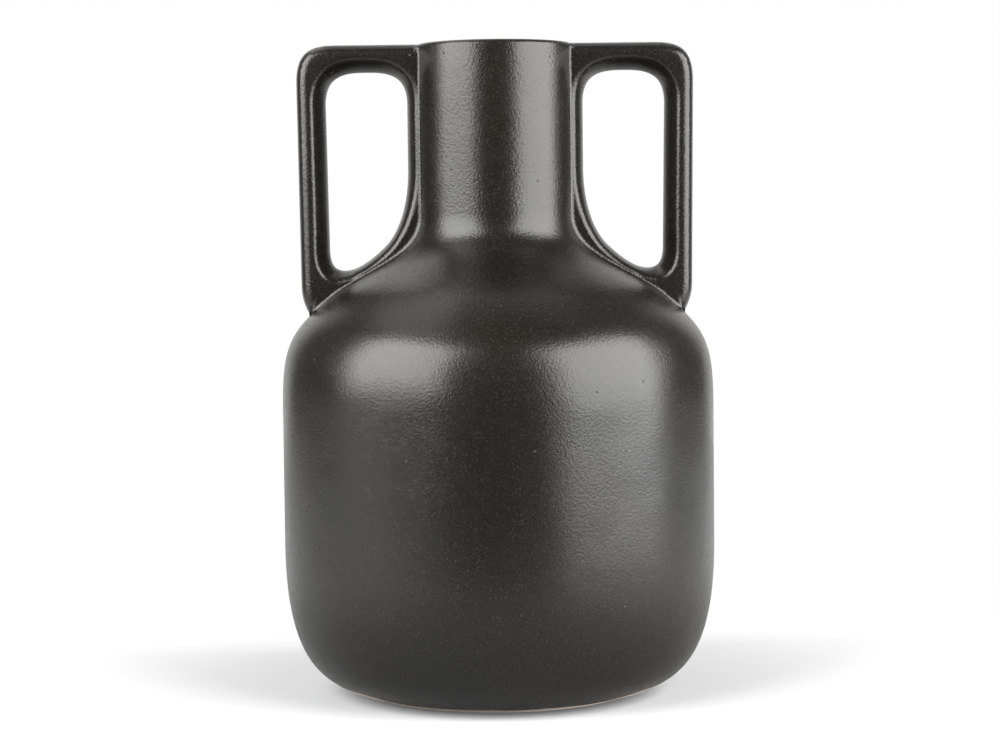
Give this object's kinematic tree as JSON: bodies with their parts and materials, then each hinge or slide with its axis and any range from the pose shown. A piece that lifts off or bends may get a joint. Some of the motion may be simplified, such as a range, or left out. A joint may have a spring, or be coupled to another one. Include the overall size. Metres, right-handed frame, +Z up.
{
  "type": "two-handled vase",
  "caption": "Two-handled ceramic vase with a wide rounded belly, a slim straight neck and square loop handles from shoulder to rim; holds stems or stands as decor.",
  "frame": {"origin": "centre of the foot ring's resting plane", "axes": "+Z up along the axis of the body; the handles lie along -X and +X; the front is -Y"},
  "size_m": [0.18, 0.18, 0.27],
  "materials": {
    "dark_glaze": "satin matte, fine orange-peel grain"
  },
  "bodies": {
    "root": {"body": "dark_glaze", "left_handle": "dark_glaze", "right_handle": "dark_glaze"}
  },
  "joints": []
}
